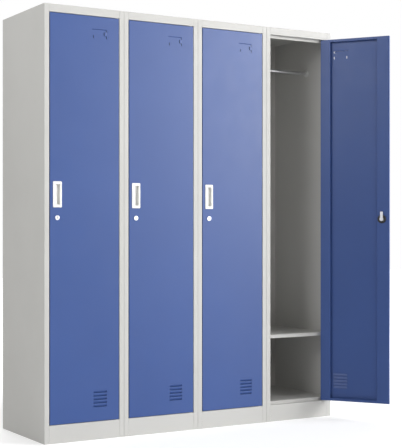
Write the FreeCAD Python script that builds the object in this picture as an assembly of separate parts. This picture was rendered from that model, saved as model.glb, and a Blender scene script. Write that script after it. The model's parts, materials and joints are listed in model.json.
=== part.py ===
"""Four-door steel clothes locker: four single modules riveted side by side.

Millimetres, +Z up. The origin is on the floor in the middle of the footprint,
the doors face -Y. Doors 1 to 3 stand closed and door 4 stands open at rest.
Inside a module, x runs from its left edge, y from the front face to the back.
"""
import FreeCAD, Part
import math
import os

from FreeCAD import Placement, Rotation, Vector

# Overall
MODULES = 4
MODULE_WIDTH = 380.0
DEPTH = 450.0
HEIGHT = 1850.0
SHEET = 0.8
BEND = 0.8
MODULE_SEAM = 0.3
SLIP = 0.1

# Front frame
STILE = 22.5
PLINTH = 77.0
TOP_RAIL = 34.0
REVEAL = 19.2
LIP_SIDE = 13.0
LIP_TOP = 13.5
LIP_BOTTOM = 15.0
FLANGE_BACK = 15.0
FLANGE_FOOT = 20.0
FLANGE_FOOT_INSET = 30.0
FLANGE_PANEL = 20.0
FLANGE_PANEL_INSET = 22.0

# Shelf and hanging rail
SHELF_HEIGHT = 404.0
SHELF_LIP = 16.5
SHELF_RETURN = 12.0
SHELF_FRONT = 26.0
SHELF_FLANGE = 13.0
SHELF_PLAY = 0.4
RAIL_HEIGHT = 1677.0
RAIL_FROM_FRONT = 187.0
RAIL_RADIUS = 8.0
RAIL_WALL = 1.2
SOCKET_RADIUS = 17.0
SOCKET_PLATE = 2.2
SOCKET_COLLAR_WALL = 3.0
SOCKET_LENGTH = 11.0
SOCKET_PLAY = 0.1

# Door leaf
DOOR_THICKNESS = 18.0
GAP_LOCK_SIDE = 3.0
GAP_HINGE_SIDE = 2.5
GAP_ENDS = 2.0
DOOR_RETURN = 12.0
LOCK_CHANNEL = 58.0
HINGE_CHANNEL = 48.0
CHANNEL_FOOT = 8.0
PIVOT_FROM_EDGE = 12.0
PIVOT_FROM_FRONT = 6.0
OPEN_ANGLE = 126.1
OPEN_DOOR = 4

# Pivot hinges
PIN_RADIUS = 2.5
PIN_PLAY = 0.05
PIN_REACH = 8.0
PIN_SEAT = 18.0
PIN_COLLAR_RADIUS = 5.0
PIN_COLLAR = 2.0
BUSH_WALL = 1.5
BUSH_LENGTH = 3.0
BUSH_FLANGE_RADIUS = 6.5
BUSH_FLANGE = 0.8
NOTCH_MARGIN = 1.8

# Pull handle
HANDLE_WIDTH = 41.0
HANDLE_HEIGHT = 110.0
HANDLE_Z = 1049.0
HANDLE_FROM_EDGE = 34.5
HANDLE_PROUD = 2.0
HANDLE_CORNER = 4.0
HANDLE_RIM_SIDE = 7.0
HANDLE_RIM_END = 12.0
HANDLE_BODY_INSET = 2.5
HANDLE_SHALLOW = 2.5
HANDLE_DEPTH = 12.0
HANDLE_WALL = 1.6
HANDLE_UNDERCUT = 2.4
HANDLE_GRIP = 2.4
HANDLE_SOFTEN = 1.2

# Cam lock
LOCK_Z = 950.5
LOCK_FROM_EDGE = 34.0
LOCK_BARREL_RADIUS = 8.0
LOCK_BEZEL_RADIUS = 10.3
LOCK_PROUD = 2.2
LOCK_BEZEL_SOFTEN = 0.8
LOCK_BARREL_BEHIND = 7.0
LOCK_RING_RADIUS = 20.0
LOCK_RING = 5.0
LOCK_RING_SOFTEN = 1.5
PLUG_RADIUS = 5.9
PLUG_PLAY = 0.05
PLUG_RECESS = 0.5
KEYWAY_WIDTH = 2.2
KEYWAY_HEIGHT = 8.4
KEYWAY_DEPTH = 4.0
CAM_GAP = 0.3
CAM_THICKNESS = 2.5
CAM_WIDTH = 13.0
CAM_REACH = 35.0
CAM_HUB_RADIUS = 9.0
CAM_NUT_FLATS = 10.0
CAM_NUT = 4.0
HOLE_PLAY = 0.1

# Pressed louvres and card holder
LOUVRE_COUNT = 5
LOUVRE_PITCH = 15.0
LOUVRE_Z = 144.0
LOUVRE_WIDTH = 64.0
LOUVRE_HEIGHT = 9.0
LOUVRE_DEPTH = 4.5
LOUVRE_FROM_HINGE_EDGE = 60.0
CARD_FROM_HINGE_EDGE = 61.0
CARD_WIDTH = 70.0
CARD_TOP = 1761.0
CARD_SLIT = 3.0
CARD_SLIT_DEPTH = 2.4
CARD_HOOK = 8.0
CARD_LUG_BOTTOM = 1733.0
CARD_LUG_WIDTH = 11.0
CARD_LUG_HEIGHT = 16.0
CARD_LUG_PROUD = 2.0
CARD_SLOT_BOTTOM = 1721.0
CARD_SLOT_HEIGHT = 12.0
CARD_SLOT_WIDTH = 2.6
CARD_SLOT_INSET = 6.0

# Fixings
RIVET_RADIUS = 1.6
RIVET_HEAD_RADIUS = 3.3
RIVET_HEAD = 1.1
RIVET_TAIL_RADIUS = 2.6
RIVET_TAIL = 3.2
RIVET_PLAY = 0.05
RIVET_HEIGHTS = (300.0, 900.0, 1500.0)
RIVET_INSET = 60.0
WALL_HOLE_RADIUS = 4.0
WALL_HOLE_SPACING = 250.0
WALL_HOLE_Z = 1780.0

# Worked out from the sizes above
HALF = SHEET / 2
MID_BEND = BEND + HALF
FRONT = -DEPTH / 2
LEFT = -MODULES * MODULE_WIDTH / 2
EDGE = MODULE_SEAM / 2
WALL_INNER = EDGE + SHEET
BACK_FLANGE_Y = DEPTH - SHEET - SLIP - SHEET
OPEN_BOTTOM = PLINTH
OPEN_TOP = HEIGHT - TOP_RAIL
FLOOR_Z = PLINTH + LIP_BOTTOM
LIP_TOP_Z = OPEN_TOP - LIP_TOP
DOOR_LEFT = STILE + GAP_LOCK_SIDE
DOOR_RIGHT = MODULE_WIDTH - STILE - GAP_HINGE_SIDE
DOOR_BOTTOM = OPEN_BOTTOM + GAP_ENDS
DOOR_TOP = OPEN_TOP - GAP_ENDS
PIVOT_X = DOOR_RIGHT - PIVOT_FROM_EDGE
HANDLE_X = DOOR_LEFT + HANDLE_FROM_EDGE
LOCK_X = DOOR_LEFT + LOCK_FROM_EDGE
BUSH_RADIUS = PIN_RADIUS + PIN_PLAY + BUSH_WALL
SWING = math.hypot(PIVOT_FROM_EDGE, DOOR_THICKNESS - PIVOT_FROM_FRONT)
NOTCH_BACK = PIVOT_FROM_FRONT + SWING + NOTCH_MARGIN
LIP_IN_SWING = max(SWING ** 2 - (REVEAL - PIVOT_FROM_FRONT) ** 2, 0)
NOTCH_HALF = math.sqrt(LIP_IN_SWING) + NOTCH_MARGIN
NOTCH_LEFT = PIVOT_X - NOTCH_HALF
FRAME_RIGHT = MODULE_WIDTH - STILE


def box(x0, x1, y0, y1, z0, z1):
    """Solid between two corners."""
    return Part.makeBox(x1 - x0, y1 - y0, z1 - z0, Vector(x0, y0, z0))


def rod(radius, start, end):
    """Solid cylinder from one point to another."""
    return Part.makeCylinder(radius, (end - start).Length, start, end - start)


def tube(outer, inner, start, end):
    """Cylinder with a bore right through."""
    return rod(outer, start, end).cut(rod(inner, start, end))


def plan(u, v):
    """Section point of a sheet that runs up the cabinet."""
    return Vector(u, v, 0)


def profile(u, v):
    """Section point of a sheet that runs across the cabinet."""
    return Vector(0, u, v)


def side_edges(path, side, place):
    """Edges of one face of a bent sheet, with an arc at each bend."""
    points = [Vector(u, v, 0) for u, v in path]
    along = [(b - a).normalize() for a, b in zip(points, points[1:])]
    normals = [Vector(-d.y, d.x, 0) for d in along]
    edges = []
    here = points[0] + normals[0] * side * HALF
    for k in range(1, len(points) - 1):
        turn = along[k - 1].cross(along[k]).z
        sign = math.copysign(1, turn)
        reach = MID_BEND * math.tan(along[k - 1].getAngle(along[k]) / 2)
        start = points[k] - along[k - 1] * reach
        centre = start + normals[k - 1] * sign * MID_BEND
        outward = (points[k] - centre).normalize()
        first = start + normals[k - 1] * side * HALF
        middle = centre + outward * (MID_BEND - sign * side * HALF)
        last = points[k] + along[k] * reach + normals[k] * side * HALF
        edges.append(Part.makeLine(place(here.x, here.y), place(first.x, first.y)))
        arc = Part.Arc(place(first.x, first.y), place(middle.x, middle.y), place(last.x, last.y))
        edges.append(arc.toShape())
        here = last
    end = points[-1] + normals[-1] * side * HALF
    edges.append(Part.makeLine(place(here.x, here.y), place(end.x, end.y)))
    return edges, place(end.x, end.y)


def bent_sheet(path, place, start, run):
    """Sheet whose middle follows path, moved to start and drawn along run."""
    left, left_end = side_edges(path, 1, place)
    right, right_end = side_edges(path, -1, place)
    caps = [Part.makeLine(left_end, right_end)]
    caps.append(Part.makeLine(left[0].firstVertex().Point, right[0].firstVertex().Point))
    wire = Part.Wire(Part.__sortEdges__(left + right + caps))
    face = Part.Face(wire)
    face.translate(start)
    return face.extrude(run)


def mirrored(shape):
    """The same piece for the other side of a module."""
    return shape.mirror(Vector(MODULE_WIDTH / 2, 0, 0), Vector(1, 0, 0))


def joined(first, others):
    """One solid from pieces that meet, without seams between flat faces."""
    return first.fuse(others).removeSplitter()


def rivet_places():
    """Depth and height of each rivet between two modules."""
    return [(y, z) for y in (RIVET_INSET, DEPTH - RIVET_INSET) for z in RIVET_HEIGHTS]


def side_panel(has_lip, riveted):
    """Left side: back flange, wall, stile, return and, on the lock side, the stop lip."""
    wall = EDGE + HALF
    path = [(EDGE + FLANGE_BACK, BACK_FLANGE_Y + HALF), (wall, BACK_FLANGE_Y + HALF)]
    path += [(wall, HALF), (STILE - HALF, HALF)]
    plain = path + [(STILE - HALF, REVEAL)]
    panel_top = HEIGHT - SHEET
    if has_lip:
        lipped = path + [(STILE - HALF, REVEAL + HALF), (STILE + LIP_SIDE, REVEAL + HALF)]
        low = FLOOR_Z + SLIP
        high = LIP_TOP_Z - SLIP
        panel = bent_sheet(lipped, plan, Vector(0, 0, low), Vector(0, 0, high - low))
        foot = bent_sheet(plain, plan, Vector(0, 0, 0), Vector(0, 0, low))
        head = bent_sheet(plain, plan, Vector(0, 0, high), Vector(0, 0, panel_top - high))
        panel = joined(panel, [foot, head])
    else:
        panel = bent_sheet(plain, plan, Vector(0, 0, 0), Vector(0, 0, panel_top))
    ledge_end = DEPTH - FLANGE_FOOT_INSET
    ledge = box(WALL_INNER - HALF, EDGE + FLANGE_FOOT, FLANGE_FOOT_INSET, ledge_end, 0, SHEET)
    panel = joined(panel, [ledge])
    if riveted:
        radius = RIVET_RADIUS + RIVET_PLAY
        holes = [rod(radius, Vector(0, y, z), Vector(STILE, y, z)) for y, z in rivet_places()]
        panel = panel.cut(holes)
    return panel


def pivot_hole(z0, z1):
    """Drill for a hinge bush through a frame ledge."""
    centre = Vector(PIVOT_X, PIVOT_FROM_FRONT, z0)
    return rod(BUSH_RADIUS + SLIP, centre, centre + Vector(0, 0, z1 - z0))


def top_panel():
    """Top sheet with its front rail, stop lip and turned-down flanges."""
    left = STILE + SLIP
    across = Vector(MODULE_WIDTH - 2 * left, 0, 0)
    start = Vector(left, 0, 0)
    back = BACK_FLANGE_Y + HALF
    path = [(REVEAL + HALF, LIP_TOP_Z), (REVEAL + HALF, OPEN_TOP + HALF)]
    path += [(HALF, OPEN_TOP + HALF), (HALF, HEIGHT - HALF)]
    path += [(back, HEIGHT - HALF), (back, HEIGHT - FLANGE_PANEL)]
    panel = bent_sheet(path, profile, start, across)
    cheek = box(EDGE, left, 0, BACK_FLANGE_Y + SHEET, HEIGHT - SHEET, HEIGHT)
    inner = WALL_INNER + SLIP
    flange_back = DEPTH - FLANGE_PANEL_INSET
    low = HEIGHT - FLANGE_PANEL
    flange = box(inner, inner + SHEET, FLANGE_PANEL_INSET, flange_back, low, HEIGHT - HALF)
    panel = joined(panel, [cheek, mirrored(cheek), flange, mirrored(flange)])
    notch = box(NOTCH_LEFT, FRAME_RIGHT, REVEAL, NOTCH_BACK, LIP_TOP_Z - SLIP, OPEN_TOP)
    return panel.cut([notch, pivot_hole(OPEN_TOP - SHEET, OPEN_TOP + 2 * SHEET)])


def base_panel():
    """Plinth front, ledge, stop lip and floor in one sheet, with a hinge pocket.

    An ear at each front corner closes the foot of the hollow stile.
    """
    left = STILE + SLIP
    across = Vector(MODULE_WIDTH - 2 * left, 0, 0)
    back = BACK_FLANGE_Y + HALF
    path = [(FLANGE_FOOT, HALF), (HALF, HALF), (HALF, PLINTH - HALF)]
    path += [(REVEAL + HALF, PLINTH - HALF), (REVEAL + HALF, FLOOR_Z - HALF)]
    path += [(back, FLOOR_Z - HALF), (back, FLOOR_Z - FLANGE_PANEL)]
    panel = bent_sheet(path, profile, Vector(left, 0, 0), across)
    inner = WALL_INNER + SLIP
    wing_back = BACK_FLANGE_Y - BEND - SLIP
    wing = box(inner, left, REVEAL + SHEET + SLIP, wing_back, FLOOR_Z - SHEET, FLOOR_Z)
    ear_front = SHEET + BEND + SLIP
    ear_edge = STILE - SHEET - SLIP
    ear = box(inner, ear_edge, ear_front, REVEAL + 2 * SHEET, FLOOR_Z - SHEET, FLOOR_Z)
    panel = joined(panel, [wing, mirrored(wing), ear])
    right = FRAME_RIGHT - SLIP
    notch = box(NOTCH_LEFT, MODULE_WIDTH, REVEAL, NOTCH_BACK, PLINTH, FLOOR_Z + SLIP)
    panel = panel.cut(notch)
    pocket_floor = box(NOTCH_LEFT - SHEET, right, REVEAL, NOTCH_BACK, PLINTH - SHEET, PLINTH)
    pocket_back = box(NOTCH_LEFT - SHEET, right, NOTCH_BACK, NOTCH_BACK + SHEET, PLINTH - SHEET, FLOOR_Z)
    pocket_side = box(NOTCH_LEFT - SHEET, NOTCH_LEFT, REVEAL, NOTCH_BACK, PLINTH - SHEET, FLOOR_Z)
    outer = MODULE_WIDTH - inner
    behind = box(right - SHEET, outer, REVEAL + SLIP, NOTCH_BACK, PLINTH - SHEET, PLINTH)
    low_ear = box(MODULE_WIDTH - ear_edge, outer, ear_front, NOTCH_BACK, PLINTH - SHEET, PLINTH)
    panel = joined(panel, [pocket_floor, pocket_back, pocket_side, behind, low_ear])
    return panel.cut(pivot_hole(PLINTH - 2 * SHEET, PLINTH + SHEET))


def back_panel():
    """Flat rear sheet with two holes for fixing to a wall."""
    panel = box(EDGE, MODULE_WIDTH - EDGE, DEPTH - SHEET, DEPTH, SHEET, HEIGHT)
    for side in (-1, 1):
        x = MODULE_WIDTH / 2 + side * WALL_HOLE_SPACING / 2
        start = Vector(x, DEPTH - 2 * SHEET, WALL_HOLE_Z)
        panel = panel.cut(rod(WALL_HOLE_RADIUS, start, start + Vector(0, 3 * SHEET, 0)))
    return panel


def shelf():
    """Shelf with a folded front lip and flanges down the sides and back."""
    left = WALL_INNER + SHELF_PLAY
    low = SHELF_HEIGHT - SHELF_LIP + HALF
    high = SHELF_HEIGHT - HALF
    front = SHELF_FRONT + HALF
    back = BACK_FLANGE_Y - SHELF_PLAY - HALF
    path = [(SHELF_FRONT + SHELF_RETURN, low), (front, low), (front, high)]
    path += [(back, high), (back, SHELF_HEIGHT - SHELF_FLANGE)]
    sheet = bent_sheet(path, profile, Vector(left, 0, 0), Vector(MODULE_WIDTH - 2 * left, 0, 0))
    start = SHELF_FRONT + SHELF_RETURN + SLIP
    end = BACK_FLANGE_Y - SHELF_FLANGE
    flange = box(left, left + SHEET, start, end, SHELF_HEIGHT - SHELF_FLANGE, high)
    return joined(sheet, [flange, mirrored(flange)])


def hanging_rail():
    """Round tube between the two sockets."""
    start = Vector(WALL_INNER + SOCKET_PLATE + SLIP, RAIL_FROM_FRONT, RAIL_HEIGHT)
    end = Vector(MODULE_WIDTH - start.x, RAIL_FROM_FRONT, RAIL_HEIGHT)
    return tube(RAIL_RADIUS, RAIL_RADIUS - RAIL_WALL, start, end)


def rail_socket():
    """Cup on the left wall that takes the end of the rail."""
    base = Vector(WALL_INNER, RAIL_FROM_FRONT, RAIL_HEIGHT)
    plate = rod(SOCKET_RADIUS, base, base + Vector(SOCKET_PLATE, 0, 0))
    rim = [e for e in plate.Edges if abs(e.BoundBox.XMin - base.x - SOCKET_PLATE) < SLIP]
    plate = plate.makeFillet(SHEET, [e for e in rim if e.BoundBox.XLength < SLIP])
    bore = RAIL_RADIUS + SOCKET_PLAY
    mouth = base + Vector(SOCKET_LENGTH, 0, 0)
    collar = tube(bore + SOCKET_COLLAR_WALL, bore, base + Vector(SOCKET_PLATE, 0, 0), mouth)
    return plate.fuse(collar)


def hinge_bush(z, up):
    """Flanged bush in a frame ledge; up is the way its flange faces."""
    centre = Vector(PIVOT_X, PIVOT_FROM_FRONT, z)
    bore = PIN_RADIUS + PIN_PLAY
    body = tube(BUSH_RADIUS, bore, centre - Vector(0, 0, up * BUSH_LENGTH), centre)
    flange = tube(BUSH_FLANGE_RADIUS, bore, centre, centre + Vector(0, 0, up * BUSH_FLANGE))
    return body.fuse(flange).removeSplitter()


def joining_rivet(y, z):
    """Blind rivet through the walls of two modules, about their joint at x = 0."""
    head_seat = Vector(WALL_INNER, y, z)
    tail_seat = Vector(-WALL_INNER, y, z)
    shank = rod(RIVET_RADIUS, tail_seat, head_seat)
    head = rod(RIVET_HEAD_RADIUS, head_seat, head_seat + Vector(RIVET_HEAD, 0, 0))
    rim = [e for e in head.Edges if e.BoundBox.XMin > WALL_INNER + RIVET_HEAD - SLIP]
    head = head.makeFillet(RIVET_HEAD - SLIP, rim)
    tail = rod(RIVET_TAIL_RADIUS, tail_seat - Vector(RIVET_TAIL, 0, 0), tail_seat)
    tail = tail.makeFillet(RIVET_TAIL / 4, tail.Edges)
    return shank.fuse([head, tail]).removeSplitter()


def hexagon(flats, height):
    """Hexagonal prism standing on z = 0."""
    radius = flats / math.sqrt(3)
    turns = [math.radians(60 * k) for k in range(7)]
    corners = [Vector(radius * math.cos(a), radius * math.sin(a), 0) for a in turns]
    return Part.Face(Part.makePolygon(corners)).extrude(Vector(0, 0, height))


def round_front_edges(leaf):
    """Bend radius round the four front edges and the two long back edges of the leaf."""
    edges = []
    for edge in leaf.Edges:
        limits = edge.BoundBox
        on_front = limits.YMax < SLIP
        on_corner = limits.ZLength < SLIP and limits.XLength < SLIP
        if on_front and not on_corner:
            edges.append(edge)
    return leaf.makeFillet(BEND + SHEET, edges)


def wedge_pair(x0, x1, z0, height, depth):
    """Hollow and hood of a pressing that is deepest at its lower edge."""
    y = SHEET
    hollow_points = [(0, z0), (depth, z0), (0, z0 + height)]
    hood_points = [(y, z0), (y + depth, z0), (y, z0 + height)]
    hollow = prism(hollow_points, x0, x1)
    hood = prism(hood_points, x0 - SHEET, x1 + SHEET)
    return hollow, hood.cut(hollow)


def prism(points, x0, x1):
    """Solid drawn along X from a section in depth and height."""
    corners = [Vector(x0, y, z) for y, z in points + points[:1]]
    return Part.Face(Part.makePolygon(corners)).extrude(Vector(x1 - x0, 0, 0))


def press_louvres(skin):
    """Five louvres pressed into the foot of the leaf."""
    x1 = DOOR_RIGHT - LOUVRE_FROM_HINGE_EDGE
    x0 = x1 - LOUVRE_WIDTH
    for k in range(LOUVRE_COUNT):
        z0 = LOUVRE_Z + k * LOUVRE_PITCH - LOUVRE_HEIGHT / 2
        hollow, hood = wedge_pair(x0, x1, z0, LOUVRE_HEIGHT, LOUVRE_DEPTH)
        skin = skin.cut(hollow).fuse(hood)
    return skin


def press_card_holder(skin):
    """Slit with a turned-down end, a raised lug below it and a slot at each lower corner."""
    right = DOOR_RIGHT - CARD_FROM_HINGE_EDGE
    left = right - CARD_WIDTH
    slit_z = CARD_TOP - CARD_SLIT
    hollow, hood = wedge_pair(left, right, slit_z, CARD_SLIT, CARD_SLIT_DEPTH)
    skin = skin.cut(hollow).fuse(hood)
    lug_left = right - CARD_LUG_WIDTH
    lug_top = CARD_LUG_BOTTOM + CARD_LUG_HEIGHT
    lug_front = -CARD_LUG_PROUD
    lug = box(lug_left, right, lug_front, SHEET, CARD_LUG_BOTTOM, lug_top)
    bend = [e for e in lug.Edges if e.BoundBox.YMax < SLIP + lug_front
            and e.BoundBox.XMin > right - SLIP]
    lug = lug.makeFillet(CARD_LUG_PROUD, bend)
    under = box(lug_left - SLIP, right - SHEET, lug_front + SHEET, SHEET, CARD_LUG_BOTTOM, lug_top)
    lug = lug.cut(under)
    window = box(lug_left - SHEET, right - SHEET, 0, SHEET, CARD_LUG_BOTTOM, lug_top)
    hook = box(right - CARD_SLOT_WIDTH, right, 0, SHEET, slit_z - CARD_HOOK, slit_z)
    slot_top = CARD_SLOT_BOTTOM + CARD_SLOT_HEIGHT
    near = box(right - CARD_SLOT_WIDTH, right, 0, SHEET, CARD_SLOT_BOTTOM, slot_top)
    far_x = left + CARD_SLOT_INSET
    far = box(far_x, far_x + CARD_SLOT_WIDTH, 0, SHEET, CARD_SLOT_BOTTOM, slot_top)
    return skin.cut([window, hook, near, far]).fuse(lug)


def door_panel():
    """Outer skin of the leaf: face, four edge flanges and the end returns."""
    leaf = box(DOOR_LEFT, DOOR_RIGHT, 0, DOOR_THICKNESS, DOOR_BOTTOM, DOOR_TOP)
    leaf = round_front_edges(leaf)
    inner_left = DOOR_LEFT + SHEET
    inner_right = DOOR_RIGHT - SHEET
    inner_back = DOOR_THICKNESS - SHEET
    hollow = box(inner_left, inner_right, SHEET, inner_back, DOOR_BOTTOM + SHEET, DOOR_TOP - SHEET)
    low = DOOR_BOTTOM + DOOR_RETURN
    high = DOOR_TOP - DOOR_RETURN
    window = box(inner_left, inner_right, inner_back, DOOR_THICKNESS, low, high)
    skin = leaf.cut([hollow, window])
    skin = press_louvres(skin)
    skin = press_card_holder(skin)
    half_width = HANDLE_WIDTH / 2 - HANDLE_BODY_INSET + HOLE_PLAY
    half_height = HANDLE_HEIGHT / 2 - HANDLE_BODY_INSET + HOLE_PLAY
    cutout = box(HANDLE_X - half_width, HANDLE_X + half_width, 0, SHEET,
                 HANDLE_Z - half_height, HANDLE_Z + half_height)
    return skin.cut([cutout, lock_drill(), pin_drill()])


def pin_drill():
    """Round hole down the leaf on the pivot's axis."""
    bottom = Vector(PIVOT_X, PIVOT_FROM_FRONT, DOOR_BOTTOM)
    return rod(PIN_RADIUS + PIN_PLAY, bottom, bottom + Vector(0, 0, DOOR_TOP - DOOR_BOTTOM))


def lock_drill():
    """Round hole right through the leaf for the lock barrel."""
    start = Vector(LOCK_X, 0, LOCK_Z)
    return rod(LOCK_BARREL_RADIUS + HOLE_PLAY, start, start + Vector(0, DOOR_THICKNESS, 0))


def channel(x_edge, x_inner):
    """Stiffening channel inside the leaf, from its edge flange to the sunk middle."""
    inward = math.copysign(1, x_inner - x_edge)
    edge = x_edge + inward * (SHEET + SLIP + HALF)
    leg = x_inner - inward * HALF
    face = DOOR_THICKNESS - HALF
    floor = SHEET + HALF
    path = [(edge, SHEET + SLIP), (edge, face), (leg, face), (leg, floor)]
    path.append((x_inner + inward * CHANNEL_FOOT, floor))
    low = DOOR_BOTTOM + DOOR_RETURN + SLIP
    high = DOOR_TOP - DOOR_RETURN - SLIP
    trough = bent_sheet(path, plan, Vector(0, 0, low), Vector(0, 0, high - low))
    left = min(edge, leg)
    right = max(edge, leg)
    ends = [box(left, right, SHEET + SLIP, face, z, z + SHEET) for z in (low, high - SHEET)]
    return joined(trough, ends)


def hinge_pin(z_edge, outward):
    """Pivot pin with its collar; outward is up at the top of the leaf."""
    centre = Vector(PIVOT_X, PIVOT_FROM_FRONT, z_edge)
    way = Vector(0, 0, outward)
    tip = centre + way * (GAP_ENDS + PIN_REACH)
    pin = rod(PIN_RADIUS, centre - way * PIN_SEAT, tip)
    seat = centre - way * (SHEET + SLIP)
    collar = rod(PIN_COLLAR_RADIUS, seat - way * PIN_COLLAR, seat)
    return pin.fuse(collar).removeSplitter()


def rounded_block(width, height, y0, y1, corner):
    """Block about the handle's centre with its four corners rounded."""
    block = box(-width / 2, width / 2, y0, y1, -height / 2, height / 2)
    upright = [e for e in block.Edges if e.BoundBox.YLength > (y1 - y0) / 2]
    return block.makeFillet(corner, upright)


def sloped_block(width, height, y0, shallow, deep, corner):
    """Block about the handle's centre whose back slopes away to the right."""
    half = width / 2
    outline = [(-half, y0), (half, y0), (half, deep), (-half, shallow), (-half, y0)]
    corners = [Vector(x, y, -height / 2) for x, y in outline]
    block = Part.Face(Part.makePolygon(corners)).extrude(Vector(0, 0, height))
    upright = [e for e in block.Edges if e.BoundBox.XLength < SLIP and e.BoundBox.ZLength < SLIP]
    return block.makeFillet(corner, upright)


def door_handle():
    """Sunk pull: a rim over the skin and a cup that slopes in to an undercut finger grip."""
    rim = rounded_block(HANDLE_WIDTH, HANDLE_HEIGHT, -HANDLE_PROUD, 0, HANDLE_CORNER)
    edge = [e for e in rim.Edges if e.BoundBox.YMax < SLIP - HANDLE_PROUD]
    rim = rim.makeFillet(HANDLE_SOFTEN, edge)
    body_width = HANDLE_WIDTH - 2 * HANDLE_BODY_INSET
    body_height = HANDLE_HEIGHT - 2 * HANDLE_BODY_INSET
    shallow = HANDLE_SHALLOW + HANDLE_WALL
    deep = HANDLE_DEPTH + HANDLE_WALL
    body = sloped_block(body_width, body_height, 0, shallow, deep, HANDLE_WALL)
    mouth_width = HANDLE_WIDTH - 2 * HANDLE_RIM_SIDE
    mouth_height = HANDLE_HEIGHT - 2 * HANDLE_RIM_END
    corner = HANDLE_CORNER / 2
    mouth = sloped_block(mouth_width, mouth_height, -HANDLE_PROUD, HANDLE_SHALLOW, HANDLE_DEPTH, corner)
    right = mouth_width / 2
    grip_half = mouth_height / 2 - HANDLE_CORNER
    grip_back = HANDLE_DEPTH - HANDLE_GRIP
    undercut = box(right - HANDLE_GRIP, right + HANDLE_UNDERCUT, HANDLE_GRIP, grip_back,
                   -grip_half, grip_half)
    handle = rim.fuse(body).cut([mouth, undercut]).removeSplitter()
    handle.translate(Vector(HANDLE_X, 0, HANDLE_Z))
    return handle


def lock_rod(radius, y0, y1):
    """Cylinder on the lock's axis."""
    return rod(radius, Vector(LOCK_X, y0, LOCK_Z), Vector(LOCK_X, y1, LOCK_Z))


def lock_body():
    """Bezel and barrel of the cam lock, bored for the plug."""
    bezel = lock_rod(LOCK_BEZEL_RADIUS, -LOCK_PROUD, 0)
    rim = [e for e in bezel.Edges if e.BoundBox.YMax < SLIP - LOCK_PROUD]
    bezel = bezel.makeFillet(LOCK_BEZEL_SOFTEN, rim)
    barrel = lock_rod(LOCK_BARREL_RADIUS, 0, DOOR_THICKNESS + LOCK_BARREL_BEHIND)
    bore = lock_rod(PLUG_RADIUS + PLUG_PLAY, -LOCK_PROUD, DOOR_THICKNESS + LOCK_BARREL_BEHIND)
    return bezel.fuse(barrel).cut(bore).removeSplitter()


def lock_ring():
    """Black clamping ring round the barrel on the inside of the leaf."""
    back = DOOR_THICKNESS + LOCK_RING
    ring = lock_rod(LOCK_RING_RADIUS, DOOR_THICKNESS, back)
    rim = [e for e in ring.Edges if e.BoundBox.YMin > back - SLIP]
    ring = ring.makeFillet(LOCK_RING_SOFTEN, rim)
    return ring.cut(lock_rod(LOCK_BARREL_RADIUS + HOLE_PLAY, DOOR_THICKNESS, back))


def lock_plug():
    """Keyed plug, with the cam that it carries and the nut that holds the cam."""
    front = PLUG_RECESS - LOCK_PROUD
    cam_y = DOOR_THICKNESS + LOCK_BARREL_BEHIND + CAM_GAP
    plug = lock_rod(PLUG_RADIUS, front, cam_y)
    half = KEYWAY_WIDTH / 2
    keyway = box(LOCK_X - half, LOCK_X + half, front, front + KEYWAY_DEPTH,
                 LOCK_Z - KEYWAY_HEIGHT / 2, LOCK_Z + KEYWAY_HEIGHT / 2)
    plug = plug.cut(keyway)
    cam_back = cam_y + CAM_THICKNESS
    arm = box(LOCK_X - CAM_WIDTH / 2, LOCK_X + CAM_WIDTH / 2, cam_y, cam_back,
              LOCK_Z, LOCK_Z + CAM_REACH)
    tips = [e for e in arm.Edges if e.BoundBox.ZMin > LOCK_Z + CAM_REACH - SLIP
            and e.BoundBox.YLength > CAM_THICKNESS / 2]
    arm = arm.makeFillet(CAM_WIDTH / 4, tips)
    cam = arm.fuse(lock_rod(CAM_HUB_RADIUS, cam_y, cam_back)).removeSplitter()
    nut = hexagon(CAM_NUT_FLATS, CAM_NUT)
    nut.rotate(Vector(0, 0, 0), Vector(1, 0, 0), -90)
    nut.translate(Vector(LOCK_X, cam_back, LOCK_Z))
    return plug.fuse([cam, nut]).removeSplitter()


def in_module(shape, module):
    """Moves a piece from its module's own place to the cabinet's frame."""
    moved = shape.copy()
    moved.translate(Vector(LEFT + (module - 1) * MODULE_WIDTH, FRONT, 0))
    return moved


def on_door(shape, module):
    """Places a piece of a leaf, and swings it out on the door that stands open."""
    moved = in_module(shape, module)
    if module == OPEN_DOOR:
        pivot = Vector(LEFT + (module - 1) * MODULE_WIDTH + PIVOT_X, FRONT + PIVOT_FROM_FRONT, 0)
        moved.rotate(pivot, Vector(0, 0, 1), OPEN_ANGLE)
    return moved


def save(name, shape):
    """Writes one node."""
    shape.exportStep("parts/" + name + ".step")


def save_group(name, shapes):
    """Writes like pieces as one node of separate solids."""
    save(name, Part.makeCompound(shapes))


def build_carcass(module):
    """The fixed sheets of one module."""
    outer_left = module == 1
    outer_right = module == MODULES
    save("left_side_%d" % module, in_module(side_panel(True, not outer_left), module))
    save("right_side_%d" % module, in_module(mirrored(side_panel(False, not outer_right)), module))
    save("top_%d" % module, in_module(top_panel(), module))
    save("base_%d" % module, in_module(base_panel(), module))
    save("back_%d" % module, in_module(back_panel(), module))
    save("shelf_%d" % module, in_module(shelf(), module))


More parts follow.
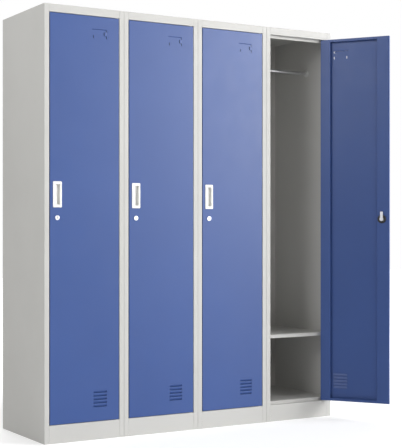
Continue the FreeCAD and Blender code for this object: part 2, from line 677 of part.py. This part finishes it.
def build_door(module):
    """One leaf with all that swings with it."""
    pins = Part.makeCompound([hinge_pin(DOOR_TOP, 1), hinge_pin(DOOR_BOTTOM, -1)])
    lock_side = channel(DOOR_LEFT, DOOR_LEFT + LOCK_CHANNEL).cut(lock_drill())
    hinge_side = channel(DOOR_RIGHT, DOOR_RIGHT - HINGE_CHANNEL).cut(pin_drill())
    save("door_panel_%d" % module, on_door(door_panel(), module))
    save("lock_channel_%d" % module, on_door(lock_side, module))
    save("hinge_channel_%d" % module, on_door(hinge_side, module))
    save("hinge_pins_%d" % module, on_door(pins, module))
    save("door_handle_%d" % module, on_door(door_handle(), module))
    save("lock_body_%d" % module, on_door(lock_body(), module))
    save("lock_ring_%d" % module, on_door(lock_ring(), module))
    save("lock_plug_%d" % module, on_door(lock_plug(), module))


def build_groups():
    """Like pieces that repeat from module to module."""
    rails = []
    sockets = []
    bushes = []
    rivets = []
    for module in range(1, MODULES + 1):
        rails.append(in_module(hanging_rail(), module))
        sockets += [in_module(rail_socket(), module), in_module(mirrored(rail_socket()), module)]
        bushes.append(in_module(hinge_bush(OPEN_BOTTOM, 1), module))
        bushes.append(in_module(hinge_bush(OPEN_TOP, -1), module))
        if module > 1:
            for y, z in rivet_places():
                rivets.append(in_module(joining_rivet(y, z), module))
    save_group("hanging_rails", rails)
    save_group("rail_sockets", sockets)
    save_group("hinge_bushes", bushes)
    save_group("joining_rivets", rivets)


os.makedirs("parts", exist_ok=True)
for number in range(1, MODULES + 1):
    build_carcass(number)
    build_door(number)
build_groups()
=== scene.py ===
import json
import math

import bpy
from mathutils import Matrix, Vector


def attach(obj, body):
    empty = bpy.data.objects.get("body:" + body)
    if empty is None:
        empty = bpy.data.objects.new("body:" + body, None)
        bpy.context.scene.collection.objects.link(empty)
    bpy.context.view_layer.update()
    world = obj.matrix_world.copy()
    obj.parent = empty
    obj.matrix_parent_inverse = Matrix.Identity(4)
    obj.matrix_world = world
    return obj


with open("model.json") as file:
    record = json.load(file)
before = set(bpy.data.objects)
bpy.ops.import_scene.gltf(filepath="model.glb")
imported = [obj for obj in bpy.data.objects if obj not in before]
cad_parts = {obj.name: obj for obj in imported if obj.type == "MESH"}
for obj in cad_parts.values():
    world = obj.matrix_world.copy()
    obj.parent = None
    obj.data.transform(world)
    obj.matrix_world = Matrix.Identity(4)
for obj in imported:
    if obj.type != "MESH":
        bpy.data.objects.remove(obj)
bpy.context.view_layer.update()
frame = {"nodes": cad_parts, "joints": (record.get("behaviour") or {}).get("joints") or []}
nodes = frame["nodes"]
MODULE_COUNT = 4
MODULES = range(1, MODULE_COUNT + 1)

# ---------------------------------------------------------------------------------------
# Cabinet sheets: sides, tops, bases, backs and shelves. Each is folded from 0.8 mm steel,
# spot-welded into four single modules and powder-coated light grey with a fine orange
# peel; the coat is a little thinner and paler over the folded edges.
GREY_COAT = (0.520, 0.516, 0.496)
GREY_COAT_SHADE = (0.505, 0.501, 0.481)
GREY_EDGE = (0.58, 0.58, 0.565)
GREY_ROUGHNESS = 0.56
PEEL_PER_METRE = 480.0
PEEL_DEPTH = 0.00003
GRIT_PER_METRE = 2600.0
GRIT_DEPTH = 0.000006
EDGE_RADIUS = 0.0009
EDGE_SHOW = 0.55
DUST = (0.50, 0.48, 0.44)
DUST_SHOW = 0.16
SCUFF_SHOW = 0.35
SCUFF_TOP = 0.06
TONE_PER_METRE = 3.5
DUST_PER_METRE = 28.0
SCUFF_PER_METRE = 55.0
SHEEN_PER_METRE = 14.0
SHEEN_SPREAD = 0.035


def new_material(name):
    """An empty node material, its tree and its surface shader."""
    material = bpy.data.materials.new(name)
    material.use_nodes = True
    tree = material.node_tree
    tree.nodes.clear()
    shader = tree.nodes.new("ShaderNodeBsdfPrincipled")
    output = tree.nodes.new("ShaderNodeOutputMaterial")
    tree.links.new(shader.outputs["BSDF"], output.inputs["Surface"])
    return material, tree, shader


def noise(tree, per_metre, detail=2.0, stretch=(1, 1, 1), seed=0.0):
    """Noise of a real size, fixed to the piece."""
    place = tree.nodes.new("ShaderNodeTexCoord")
    mapping = tree.nodes.new("ShaderNodeMapping")
    mapping.inputs["Scale"].default_value = stretch
    mapping.inputs["Location"].default_value = (seed, seed, seed)
    texture = tree.nodes.new("ShaderNodeTexNoise")
    texture.inputs["Scale"].default_value = per_metre
    texture.inputs["Detail"].default_value = detail
    tree.links.new(place.outputs["Object"], mapping.inputs["Vector"])
    tree.links.new(mapping.outputs["Vector"], texture.inputs["Vector"])
    return texture.outputs["Fac"]


def spread(tree, value, low, high, to_low=0.0, to_high=1.0):
    """Takes the stretch from low to high of a value to another stretch."""
    ranged = tree.nodes.new("ShaderNodeMapRange")
    ranged.inputs["From Min"].default_value = low
    ranged.inputs["From Max"].default_value = high
    ranged.inputs["To Min"].default_value = to_low
    ranged.inputs["To Max"].default_value = to_high
    tree.links.new(value, ranged.inputs["Value"])
    return ranged.outputs["Result"]


def times(tree, a, b):
    """Product of two values."""
    product = tree.nodes.new("ShaderNodeMath")
    product.operation = "MULTIPLY"
    for value, socket in ((a, product.inputs[0]), (b, product.inputs[1])):
        if isinstance(value, (int, float)):
            socket.default_value = value
        else:
            tree.links.new(value, socket)
    return product.outputs["Value"]


def blend(tree, share, a, b):
    """Colour a going to colour b as share goes from 0 to 1."""
    mix = tree.nodes.new("ShaderNodeMix")
    mix.data_type = "RGBA"
    tree.links.new(share, mix.inputs["Factor"])
    for value, socket in ((a, mix.inputs["A"]), (b, mix.inputs["B"])):
        if isinstance(value, tuple):
            socket.default_value = (*value, 1.0)
        else:
            tree.links.new(value, socket)
    return mix.outputs["Result"]


def bump(tree, height, depth, onto=None):
    """Relief of a real depth, laid over another if one is given."""
    relief = tree.nodes.new("ShaderNodeBump")
    relief.inputs["Distance"].default_value = depth
    tree.links.new(height, relief.inputs["Height"])
    if onto is not None:
        tree.links.new(onto, relief.inputs["Normal"])
    return relief.outputs["Normal"]


def edge_share(tree, radius, low=0.80, high=0.985):
    """One along sharp edges and nothing on the flats."""
    rounded = tree.nodes.new("ShaderNodeBevel")
    rounded.samples = 4
    rounded.inputs["Radius"].default_value = radius
    flat = tree.nodes.new("ShaderNodeNewGeometry")
    dot = tree.nodes.new("ShaderNodeVectorMath")
    dot.operation = "DOT_PRODUCT"
    tree.links.new(rounded.outputs["Normal"], dot.inputs[0])
    tree.links.new(flat.outputs["Normal"], dot.inputs[1])
    return spread(tree, dot.outputs["Value"], low, high, 1.0, 0.0)


def up_share(tree, low=0.7, high=0.98):
    """One on faces that look up, where dust settles."""
    facing = tree.nodes.new("ShaderNodeNewGeometry")
    split = tree.nodes.new("ShaderNodeSeparateXYZ")
    tree.links.new(facing.outputs["Normal"], split.inputs["Vector"])
    return spread(tree, split.outputs["Z"], low, high)


def height_share(tree, low, high):
    """One at height low and below, nothing at high and above."""
    place = tree.nodes.new("ShaderNodeTexCoord")
    split = tree.nodes.new("ShaderNodeSeparateXYZ")
    tree.links.new(place.outputs["Object"], split.inputs["Vector"])
    return spread(tree, split.outputs["Z"], low, high, 1.0, 0.0)


def powder_coat(name, colour, shade, edge, roughness, gloss_level, seed=0.0):
    """Powder-coated steel with orange peel, a thin edge, settled dust and floor scuffs."""
    material, tree, shader = new_material(name)
    tone = spread(tree, noise(tree, TONE_PER_METRE, 4.0, seed=seed), 0.35, 0.65)
    coat = blend(tree, tone, colour, shade)
    coat = blend(tree, times(tree, edge_share(tree, EDGE_RADIUS), EDGE_SHOW), coat, edge)
    patches = spread(tree, noise(tree, DUST_PER_METRE, 5.0, seed=seed + 3.0), 0.42, 0.72)
    dust = times(tree, times(tree, up_share(tree), patches), DUST_SHOW)
    coat = blend(tree, dust, coat, DUST)
    rubs = noise(tree, SCUFF_PER_METRE, 6.0, (1.0, 1.0, 3.0), seed + 5.0)
    scuffs = spread(tree, rubs, 0.60, 0.72)
    low = times(tree, times(tree, height_share(tree, 0.0, SCUFF_TOP), scuffs), SCUFF_SHOW)
    coat = blend(tree, low, coat, DUST)
    tree.links.new(coat, shader.inputs["Base Color"])
    sheen = noise(tree, SHEEN_PER_METRE, 5.0, seed=seed + 7.0)
    dull, bright = roughness + SHEEN_SPREAD, roughness - SHEEN_SPREAD
    gloss = spread(tree, sheen, 0.3, 0.7, bright, dull)
    tree.links.new(gloss, shader.inputs["Roughness"])
    shader.inputs["Specular IOR Level"].default_value = gloss_level
    grit = bump(tree, noise(tree, GRIT_PER_METRE, 1.0, seed=seed), GRIT_DEPTH)
    peel = bump(tree, noise(tree, PEEL_PER_METRE, 2.0, seed=seed), PEEL_DEPTH, grit)
    tree.links.new(peel, shader.inputs["Normal"])
    return material


def coat_node(name, material):
    """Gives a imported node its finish."""
    for slot in nodes[name].material_slots:
        slot.material = material


grey_coat = powder_coat(
    "grey_powder_coat", GREY_COAT, GREY_COAT_SHADE, GREY_EDGE, GREY_ROUGHNESS, 0.35
)
for module in MODULES:
    for sheet in ("left_side", "right_side", "top", "base", "back", "shelf"):
        coat_node(f"{sheet}_{module}", grey_coat)

# ---------------------------------------------------------------------------------------
# Door leaves: an outer skin with folded edges and two upright channels welded inside,
# all powder-coated blue. Louvres and a card holder are pressed out of the skin.
BLUE_COAT = (0.0315, 0.0765, 0.2560)
BLUE_COAT_SHADE = (0.0297, 0.0725, 0.2450)
BLUE_EDGE = (0.070, 0.118, 0.290)
BLUE_ROUGHNESS = 0.42

blue_coat = powder_coat(
    "blue_powder_coat", BLUE_COAT, BLUE_COAT_SHADE, BLUE_EDGE, BLUE_ROUGHNESS, 0.48, seed=11.0
)
for module in MODULES:
    for sheet in ("door_panel", "lock_channel", "hinge_channel"):
        coat_node(f"{sheet}_{module}", blue_coat)

# ---------------------------------------------------------------------------------------
# Weld marks: the channels' feet are spot-welded to the skin about every 100 mm. Each weld
# leaves a shallow ring and a low dimple that the blue coat runs over.
FEET_APART = 0.215
FEET_MIDDLE = -0.1477
FOOT_FACE = -0.00435
WELD_ROWS = 17
WELDS_HIGH = 1.63
WELDS_MIDDLE = 0.9465
WELD_RADIUS = 0.0022
WELD_RING = 0.00028
DIMPLE_SHARES = (0.62, 0.62, 0.07)
OPEN_DOOR = 4
OPEN_TURN = math.radians(126.1)


def empty_tree(name, inputs):
    """An empty geometry tree with named inputs and one geometry output."""
    tree = bpy.data.node_groups.new(name, "GeometryNodeTree")
    tree.interface.new_socket("Geometry", in_out="OUTPUT", socket_type="NodeSocketGeometry")
    for label, kind in inputs:
        tree.interface.new_socket(label, in_out="INPUT", socket_type=kind)
    entry = tree.nodes.new("NodeGroupInput")
    leave = tree.nodes.new("NodeGroupOutput")
    return tree, entry, leave


def grown(name, tree, values, body):
    """Runs a geometry tree with its inputs set and keeps the outcome as a plain mesh."""
    seed = bpy.data.objects.new(name + "_seed", bpy.data.meshes.new(name + "_seed"))
    bpy.context.scene.collection.objects.link(seed)
    modifier = seed.modifiers.new("grown", "NODES")
    modifier.node_group = tree
    for item in tree.interface.items_tree:
        if item.in_out == "INPUT" and item.name in values:
            modifier[item.identifier] = values[item.name]
    seed.update_tag()
    depsgraph = bpy.context.evaluated_depsgraph_get()
    mesh = bpy.data.meshes.new_from_object(seed.evaluated_get(depsgraph))
    bpy.data.objects.remove(seed)
    piece = bpy.data.objects.new(name, mesh)
    mesh.name = name
    bpy.context.scene.collection.objects.link(piece)
    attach(piece, body)
    return piece


def link(tree, source, socket, target, entry_socket):
    """Joins two sockets by name."""
    tree.links.new(source.outputs[socket], target.inputs[entry_socket])


def weld_tree(material):
    """Two columns of weld marks on a leaf, then turned and carried to the leaf's place."""
    tree, entry, leave = empty_tree("weld_marks", (
        ("Between columns", "NodeSocketFloat"),
        ("Column height", "NodeSocketFloat"),
        ("Rows", "NodeSocketInt"),
        ("Middle of the leaf", "NodeSocketVector"),
        ("Turn", "NodeSocketVector"),
        ("Place", "NodeSocketVector"),
        ("Mark radius", "NodeSocketFloat"),
        ("Ring thickness", "NodeSocketFloat"),
    ))
    grid = tree.nodes.new("GeometryNodeMeshGrid")
    grid.inputs["Vertices X"].default_value = 2
    link(tree, entry, "Between columns", grid, "Size X")
    link(tree, entry, "Column height", grid, "Size Y")
    link(tree, entry, "Rows", grid, "Vertices Y")
    upright = tree.nodes.new("GeometryNodeTransform")
    upright.inputs["Rotation"].default_value = (math.radians(90), 0, 0)
    link(tree, grid, "Mesh", upright, "Geometry")
    link(tree, entry, "Middle of the leaf", upright, "Translation")
    ring = tree.nodes.new("GeometryNodeCurvePrimitiveCircle")
    ring.inputs["Resolution"].default_value = 20
    link(tree, entry, "Mark radius", ring, "Radius")
    section = tree.nodes.new("GeometryNodeCurvePrimitiveCircle")
    section.inputs["Resolution"].default_value = 8
    link(tree, entry, "Ring thickness", section, "Radius")
    rim = tree.nodes.new("GeometryNodeCurveToMesh")
    link(tree, ring, "Curve", rim, "Curve")
    link(tree, section, "Curve", rim, "Profile Curve")
    dimple = tree.nodes.new("GeometryNodeMeshUVSphere")
    dimple.inputs["Segments"].default_value = 16
    dimple.inputs["Rings"].default_value = 8
    link(tree, entry, "Mark radius", dimple, "Radius")
    low = tree.nodes.new("GeometryNodeTransform")
    low.inputs["Scale"].default_value = DIMPLE_SHARES
    link(tree, dimple, "Mesh", low, "Geometry")
    mark = tree.nodes.new("GeometryNodeJoinGeometry")
    link(tree, rim, "Mesh", mark, "Geometry")
    link(tree, low, "Geometry", mark, "Geometry")
    facing = tree.nodes.new("GeometryNodeTransform")
    facing.inputs["Rotation"].default_value = (math.radians(90), 0, 0)
    link(tree, mark, "Geometry", facing, "Geometry")
    spots = tree.nodes.new("GeometryNodeInstanceOnPoints")
    link(tree, upright, "Geometry", spots, "Points")
    link(tree, facing, "Geometry", spots, "Instance")
    swing = tree.nodes.new("GeometryNodeTransform")
    link(tree, spots, "Instances", swing, "Geometry")
    link(tree, entry, "Turn", swing, "Rotation")
    link(tree, entry, "Place", swing, "Translation")
    solid = tree.nodes.new("GeometryNodeRealizeInstances")
    link(tree, swing, "Geometry", solid, "Geometry")
    coat = tree.nodes.new("GeometryNodeSetMaterial")
    coat.inputs["Material"].default_value = material
    link(tree, solid, "Geometry", coat, "Geometry")
    link(tree, coat, "Geometry", leave, "Geometry")
    return tree


welds = weld_tree(blue_coat)
for joint in frame["joints"]:
    if not joint["child"].startswith("door"):
        continue
    is_open = joint["child"].endswith(str(OPEN_DOOR))
    grown("weld_marks_" + joint["child"], welds, {
        "Between columns": FEET_APART,
        "Column height": WELDS_HIGH,
        "Rows": WELD_ROWS,
        "Middle of the leaf": (FEET_MIDDLE, FOOT_FACE, WELDS_MIDDLE),
        "Turn": (0.0, 0.0, OPEN_TURN if is_open else 0.0),
        "Place": (joint["pos_m"][0], joint["pos_m"][1], 0.0),
        "Mark radius": WELD_RADIUS,
        "Ring thickness": WELD_RING,
    }, joint["child"])

# ---------------------------------------------------------------------------------------
# Pull handles: one light grey moulding each, snapped into a cut-out in the leaf. The cup
# is spark-eroded matt and the rim is smoother where fingers rub it.
HANDLE_GREY = (0.83, 0.83, 0.805)
HANDLE_RUBBED = (0.85, 0.85, 0.84)
RUBBED_RADIUS = 0.0015
RUBBED_SHOW = 0.7
GRAIN_PER_METRE = 1800.0
LIGHT_DEPTH = 0.003


def moulded_plastic(name, colour, rubbed, roughness, grain_depth, seed=0.0, depth_share=0.0):
    """Injection-moulded plastic with a fine eroded grain and smoother rubbed edges."""
    material, tree, shader = new_material(name)
    tone = spread(tree, noise(tree, 30.0, 3.0, seed=seed), 0.3, 0.7, 0.0, 0.5)
    body = blend(tree, tone, colour, tuple(0.95 * c for c in colour))
    worn = edge_share(tree, RUBBED_RADIUS, 0.75, 0.97)
    body = blend(tree, times(tree, worn, RUBBED_SHOW), body, rubbed)
    tree.links.new(body, shader.inputs["Base Color"])
    gloss = spread(tree, worn, 0.0, 1.0, roughness, roughness * 0.7)
    tree.links.new(gloss, shader.inputs["Roughness"])
    shader.inputs["Subsurface Weight"].default_value = depth_share
    shader.inputs["Subsurface Radius"].default_value = (1.0, 1.0, 1.0)
    shader.inputs["Subsurface Scale"].default_value = LIGHT_DEPTH
    grain = bump(tree, noise(tree, GRAIN_PER_METRE, 2.0, seed=seed), grain_depth)
    tree.links.new(grain, shader.inputs["Normal"])
    return material


handle_plastic = moulded_plastic(
    "handle_plastic", HANDLE_GREY, HANDLE_RUBBED, 0.42, 0.00002, depth_share=0.15
)
for module in MODULES:
    coat_node(f"door_handle_{module}", handle_plastic)

# ---------------------------------------------------------------------------------------
# Cam locks: a chromed bezel and barrel, a die-cast plug with its keyway and steel cam,
# and a black plastic ring that clamps the barrel from inside the leaf.
CHROME = (0.86, 0.87, 0.90)
DIE_CAST = (0.74, 0.75, 0.78)
RING_BLACK = (0.012, 0.012, 0.013)
RING_RUBBED = (0.035, 0.035, 0.036)
MARKS_PER_METRE = 120.0
DULL_PER_METRE = 300.0
SCRATCH_PER_METRE = 900.0


def plated_metal(name, colour, roughness, scratch, stretch=(1, 1, 1), seed=0.0):
    """Plated or drawn metal with hairline scratches and faint handling marks."""
    material, tree, shader = new_material(name)
    shader.inputs["Metallic"].default_value = 1.0
    marks = spread(tree, noise(tree, MARKS_PER_METRE, 5.0, seed=seed), 0.45, 0.75)
    body = blend(tree, times(tree, marks, 0.5), colour, tuple(0.8 * c for c in colour))
    tree.links.new(body, shader.inputs["Base Color"])
    dull = noise(tree, DULL_PER_METRE, 4.0, stretch, seed)
    gloss = spread(tree, dull, 0.3, 0.7, roughness * 0.8, roughness * 1.3)
    tree.links.new(gloss, shader.inputs["Roughness"])
    lines = bump(tree, noise(tree, SCRATCH_PER_METRE, 3.0, stretch, seed + 1.0), scratch)
    tree.links.new(lines, shader.inputs["Normal"])
    return material


chrome = plated_metal("lock_chrome", CHROME, 0.36, 0.000004)
die_cast = plated_metal("plug_die_cast", DIE_CAST, 0.42, 0.000008, seed=2.0)
ring_plastic = moulded_plastic("ring_plastic", RING_BLACK, RING_RUBBED, 0.40, 0.00001, seed=4.0)
for module in MODULES:
    coat_node(f"lock_body_{module}", chrome)
    coat_node(f"lock_plug_{module}", die_cast)
    coat_node(f"lock_ring_{module}", ring_plastic)

# ---------------------------------------------------------------------------------------
# Hanging rails: one drawn steel tube across each compartment, held at both ends in a cup
# moulded in grey plastic and screwed to the side wall.
RAIL_STEEL = (0.58, 0.58, 0.59)
SOCKET_GREY = (0.66, 0.66, 0.65)

rail_steel = plated_metal("rail_steel", RAIL_STEEL, 0.40, 0.000006, (0.05, 1.0, 1.0), 6.0)
socket_plastic = moulded_plastic("socket_plastic", SOCKET_GREY, HANDLE_RUBBED, 0.5, 0.00001, 8.0)
coat_node("hanging_rails", rail_steel)
coat_node("rail_sockets", socket_plastic)

# ---------------------------------------------------------------------------------------
# Fixings: zinc-plated pivot pins turn in natural nylon bushes at the top and bottom of each
# leaf, and steel blind rivets join the side walls of neighbouring modules.
ZINC = (0.62, 0.63, 0.65)
NYLON = (0.72, 0.72, 0.68)

zinc_plate = plated_metal("zinc_plate", ZINC, 0.32, 0.00001, seed=9.0)
nylon = moulded_plastic("nylon", NYLON, NYLON, 0.5, 0.00001, seed=10.0)
coat_node("joining_rivets", zinc_plate)
coat_node("hinge_bushes", nylon)
for module in MODULES:
    coat_node(f"hinge_pins_{module}", zinc_plate)

# ---------------------------------------------------------------------------------------
# Socket screws: each rail socket is held by two small zinc-plated pan-head screws with a
# cross recess, above and below the collar, and no two are turned alike.
SCREW_RADIUS = 0.0021
SCREW_HEIGHT_SHARE = 0.6
RECESS = (0.0026, 0.0006, 0.0016)
SCREWS_APART = 0.0278
SOCKET_DEPTH = -0.038
SOCKET_MIDDLE = 1.677
SOCKET_FACE = 0.0041
SOCKET_SPACING = 0.380
SCREW_TWIST_SEED = 7
RECESS_LIFT_SHARE = 1.15


def screw_head(tree, entry):
    """Low dome with a cross cut into it, facing up."""
    ball = tree.nodes.new("GeometryNodeMeshUVSphere")
    ball.inputs["Segments"].default_value = 24
    ball.inputs["Rings"].default_value = 12
    link(tree, entry, "Head radius", ball, "Radius")
    dome = tree.nodes.new("GeometryNodeTransform")
    dome.inputs["Scale"].default_value = (1.0, 1.0, SCREW_HEIGHT_SHARE)
    link(tree, ball, "Mesh", dome, "Geometry")
    cutters = []
    across = (RECESS[1], RECESS[0], RECESS[2])
    recess_height = RECESS_LIFT_SHARE * SCREW_RADIUS * SCREW_HEIGHT_SHARE
    for size in (RECESS, across):
        bar = tree.nodes.new("GeometryNodeMeshCube")
        bar.inputs["Size"].default_value = size
        up = tree.nodes.new("GeometryNodeTransform")
        up.inputs["Translation"].default_value = (0.0, 0.0, recess_height)
        link(tree, bar, "Mesh", up, "Geometry")
        cutters.append(up)
    head = tree.nodes.new("GeometryNodeMeshBoolean")
    head.operation = "DIFFERENCE"
    link(tree, dome, "Geometry", head, "Mesh 1")
    for cutter in cutters:
        link(tree, cutter, "Geometry", head, "Mesh 2")
    return head


def screw_tree(material):
    """A row of screw pairs on the left sockets and a facing row on the right ones."""
    tree, entry, leave = empty_tree("socket_screws", (
        ("Modules", "NodeSocketInt"),
        ("Row width", "NodeSocketFloat"),
        ("Pair height", "NodeSocketFloat"),
        ("Head radius", "NodeSocketFloat"),
        ("Left row", "NodeSocketVector"),
        ("Right row", "NodeSocketVector"),
    ))
    head = screw_head(tree, entry)
    both = tree.nodes.new("GeometryNodeJoinGeometry")
    for side, facing in (("Left row", math.radians(90)), ("Right row", math.radians(-90))):
        grid = tree.nodes.new("GeometryNodeMeshGrid")
        grid.inputs["Vertices Y"].default_value = 2
        link(tree, entry, "Modules", grid, "Vertices X")
        link(tree, entry, "Row width", grid, "Size X")
        link(tree, entry, "Pair height", grid, "Size Y")
        upright = tree.nodes.new("GeometryNodeTransform")
        upright.inputs["Rotation"].default_value = (math.radians(90), 0, 0)
        link(tree, grid, "Mesh", upright, "Geometry")
        link(tree, entry, side, upright, "Translation")
        heads = tree.nodes.new("GeometryNodeInstanceOnPoints")
        heads.inputs["Rotation"].default_value = (0.0, facing, 0.0)
        link(tree, upright, "Geometry", heads, "Points")
        link(tree, head, "Mesh", heads, "Instance")
        chance = tree.nodes.new("FunctionNodeRandomValue")
        chance.data_type = "FLOAT_VECTOR"
        chance.inputs["Min"].default_value = (0.0, 0.0, 0.0)
        chance.inputs["Max"].default_value = (0.0, 0.0, math.pi)
        chance.inputs["Seed"].default_value = SCREW_TWIST_SEED
        twist = tree.nodes.new("GeometryNodeRotateInstances")
        link(tree, heads, "Instances", twist, "Instances")
        tree.links.new(chance.outputs[0], twist.inputs["Rotation"])
        link(tree, twist, "Instances", both, "Geometry")
    solid = tree.nodes.new("GeometryNodeRealizeInstances")
    link(tree, both, "Geometry", solid, "Geometry")
    plate = tree.nodes.new("GeometryNodeSetMaterial")
    plate.inputs["Material"].default_value = material
    link(tree, solid, "Geometry", plate, "Geometry")
    link(tree, plate, "Geometry", leave, "Geometry")
    return tree


grown("socket_screws", screw_tree(zinc_plate), {
    "Modules": MODULE_COUNT,
    "Row width": SOCKET_SPACING * (MODULE_COUNT - 1),
    "Pair height": SCREWS_APART,
    "Head radius": SCREW_RADIUS,
    "Left row": (SOCKET_FACE - SOCKET_SPACING / 2, SOCKET_DEPTH, SOCKET_MIDDLE),
    "Right row": (SOCKET_SPACING / 2 - SOCKET_FACE, SOCKET_DEPTH, SOCKET_MIDDLE),
}, "cabinet")

# ---------------------------------------------------------------------------------------
# Studio: a pale floor that runs out to white. Two large soft boxes light the cabinet from
# the front right and two smaller ones from the left, with a fill and a light at the back.
FLOOR = 30.0
FLOOR_PALE = (0.80, 0.80, 0.80)
FLOOR_SHADE = (0.78, 0.78, 0.78)
GLOW_FROM = 0.9
GLOW_FULL = 3.0


def floor_sheet(near_glow, far_glow):
    """Wide pale floor that runs out to white, and throws only the light that falls on it."""
    mesh = bpy.data.meshes.new("studio_floor")
    half = FLOOR / 2
    mesh.from_pydata(
        [(-half, -half, 0), (half, -half, 0), (half, half, 0), (-half, half, 0)],
        [],
        [(0, 1, 2, 3)],
    )
    floor = bpy.data.objects.new("studio_floor", mesh)
    bpy.context.scene.collection.objects.link(floor)
    material, tree, shader = new_material("studio_floor")
    tone = spread(tree, noise(tree, 1.5, 3.0), 0.3, 0.7)
    tree.links.new(blend(tree, tone, FLOOR_PALE, FLOOR_SHADE), shader.inputs["Base Color"])
    shader.inputs["Roughness"].default_value = 0.8
    place = tree.nodes.new("ShaderNodeTexCoord")
    distance = tree.nodes.new("ShaderNodeVectorMath")
    distance.operation = "LENGTH"
    tree.links.new(place.outputs["Object"], distance.inputs[0])
    glow = spread(tree, distance.outputs["Value"], GLOW_FROM, GLOW_FULL, near_glow, far_glow)
    path = tree.nodes.new("ShaderNodeLightPath")
    seen = times(tree, glow, path.outputs["Is Camera Ray"])
    tree.links.new(seen, shader.inputs["Emission Strength"])
    shader.inputs["Emission Color"].default_value = (1, 1, 1, 1)
    mesh.materials.append(material)


def soft_light(name, place, aim, width, height, power):
    """Rectangular soft box aimed at a point."""
    lamp = bpy.data.lights.new(name, "AREA")
    lamp.shape = "RECTANGLE"
    lamp.size = width
    lamp.size_y = height
    lamp.energy = power
    light = bpy.data.objects.new(name, lamp)
    light.location = place
    light.rotation_euler = (Vector(aim) - Vector(place)).to_track_quat("-Z", "Y").to_euler()
    bpy.context.scene.collection.objects.link(light)


def studio_sky(strength):
    """Even white surround, and a white background behind the cabinet."""
    world = bpy.data.worlds.new("studio")
    world.use_nodes = True
    tree = world.node_tree
    tree.nodes.clear()
    output = tree.nodes.new("ShaderNodeOutputWorld")
    surround = tree.nodes.new("ShaderNodeBackground")
    surround.inputs["Strength"].default_value = strength
    surround.inputs["Color"].default_value = (1, 1, 1, 1)
    backdrop = tree.nodes.new("ShaderNodeBackground")
    backdrop.inputs["Color"].default_value = (1, 1, 1, 1)
    backdrop.inputs["Strength"].default_value = 1.0
    path = tree.nodes.new("ShaderNodeLightPath")
    mix = tree.nodes.new("ShaderNodeMixShader")
    tree.links.new(path.outputs["Is Camera Ray"], mix.inputs["Fac"])
    tree.links.new(surround.outputs["Background"], mix.inputs[1])
    tree.links.new(backdrop.outputs["Background"], mix.inputs[2])
    tree.links.new(mix.outputs["Shader"], output.inputs["Surface"])
    bpy.context.scene.world = world


floor_sheet(0.30, 1.0)
studio_sky(0.166)
soft_light("key_low", (6.12, -5.88, 3.16), (0.1, 0.0, 1.2), 3.6, 3.6, 490.0)
soft_light("key", (7.25, -3.9, 2.76), (0.1, 0.0, 1.2), 3.4, 3.4, 510.0)
soft_light("left", (-4.2, -1.6, 3.2), (-0.8, 0.0, 1.3), 2.5, 2.5, 112.0)
soft_light("left_high", (-2.6, 0.6, 3.6), (-0.8, 0.0, 1.3), 1.6, 1.6, 17.0)
soft_light("fill", (-1.0, -6.0, 3.5), (0.0, 0.0, 1.0), 2.0, 2.0, 30.0)
soft_light("back", (1.0, 4.8, 4.4), (0.0, 0.2, 1.0), 3.0, 3.0, 150.0)

# ---------------------------------------------------------------------------------------
# Camera: a long lens at chest height in front of the left end, level, so that the
# uprights stay parallel.
CAMERA_PLACE = (-2.741, -4.537, 0.898)
CAMERA_TURN = -29.39
CAMERA_LENS = 90.85
SHIFT_ACROSS = 0.1415
SHIFT_UP = 0.0138

lens = bpy.data.cameras.new("camera")
lens.sensor_width = 36.0
lens.lens = CAMERA_LENS
lens.shift_x = SHIFT_ACROSS
lens.shift_y = SHIFT_UP
camera = bpy.data.objects.new("camera", lens)
camera.location = CAMERA_PLACE
camera.rotation_euler = (math.radians(90), 0, math.radians(CAMERA_TURN))
bpy.context.scene.collection.objects.link(camera)
bpy.context.scene.camera = camera
bpy.context.scene.view_settings.view_transform = "Standard"
